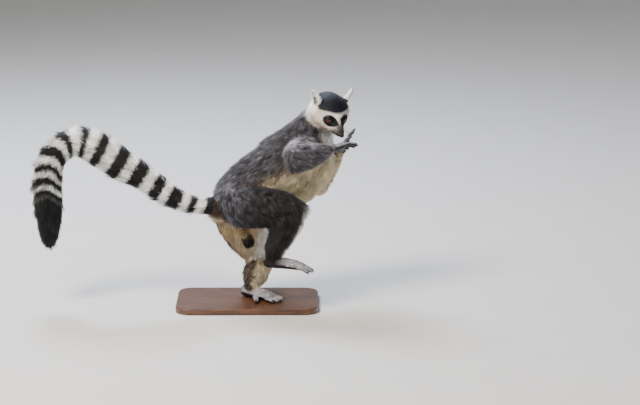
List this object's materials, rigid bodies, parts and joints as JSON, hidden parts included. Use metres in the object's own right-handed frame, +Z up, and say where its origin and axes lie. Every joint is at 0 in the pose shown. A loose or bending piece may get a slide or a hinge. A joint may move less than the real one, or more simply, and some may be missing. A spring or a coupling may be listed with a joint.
{
  "type": "ring-tailed lemur model",
  "caption": "Life-size ring-tailed lemur on one hind foot, leaning forward with raised hands, face turned aside, ringed tail hanging in an arch behind, on a plain board.",
  "frame": {"origin": "centre of the base's underside", "axes": "+X the way the body faces, +Y the animal's left side, +Z up, square to the base"},
  "size_m": [0.6557, 0.2184, 0.4475],
  "materials": {
    "grey_coat": "dense grey-brown fur, darker on the legs and cream below",
    "white_coat": "short white fur with a charcoal cap and black eye patches",
    "black_coat": "long fur ringed black and white, black at the tip",
    "pale_coat": "short pale fur over dark soles",
    "bare_skin": "bare dark grey skin, slightly shiny",
    "eye_orange": "wet-looking eye, orange-brown iris round a black pupil",
    "stained_board": "dark stained, satin"
  },
  "bodies": {
    "root": {"stand_base": "stained_board", "trunk_rump": "grey_coat", "trunk_belly": "grey_coat", "trunk_chest": "grey_coat", "neck": "grey_coat", "head": "white_coat", "ear_left": "white_coat", "ear_right": "white_coat", "eye_left": "eye_orange", "eye_right": "eye_orange", "nose": "bare_skin", "upper_arm_right": "grey_coat", "forearm_right": "grey_coat", "upper_arm_left": "grey_coat", "forearm_left": "grey_coat", "thigh_right": "grey_coat", "shank_right": "grey_coat", "thigh_left": "grey_coat", "shank_left": "grey_coat", "scrotum": "bare_skin", "finger_right_1": "bare_skin", "finger_right_2": "bare_skin", "finger_right_3": "bare_skin", "finger_right_4": "bare_skin", "finger_right_5": "bare_skin", "finger_left_1": "bare_skin", "finger_left_2": "bare_skin", "finger_left_3": "bare_skin", "finger_left_4": "bare_skin", "finger_left_5": "bare_skin", "hand_right": "bare_skin", "hand_left": "bare_skin", "toe_right_1": "pale_coat", "toe_right_2": "pale_coat", "toe_right_3": "pale_coat", "toe_right_4": "pale_coat", "toe_right_5": "pale_coat", "toe_left_1": "pale_coat", "toe_left_2": "pale_coat", "toe_left_3": "pale_coat", "toe_left_4": "pale_coat", "toe_left_5": "pale_coat", "foot_right": "pale_coat", "foot_left": "pale_coat", "tail_1": "black_coat", "tail_2": "black_coat", "tail_3": "black_coat", "tail_4": "black_coat", "tail_5": "black_coat", "tail_6": "black_coat", "tail_7": "black_coat", "tail_8": "black_coat"}
  },
  "joints": []
}
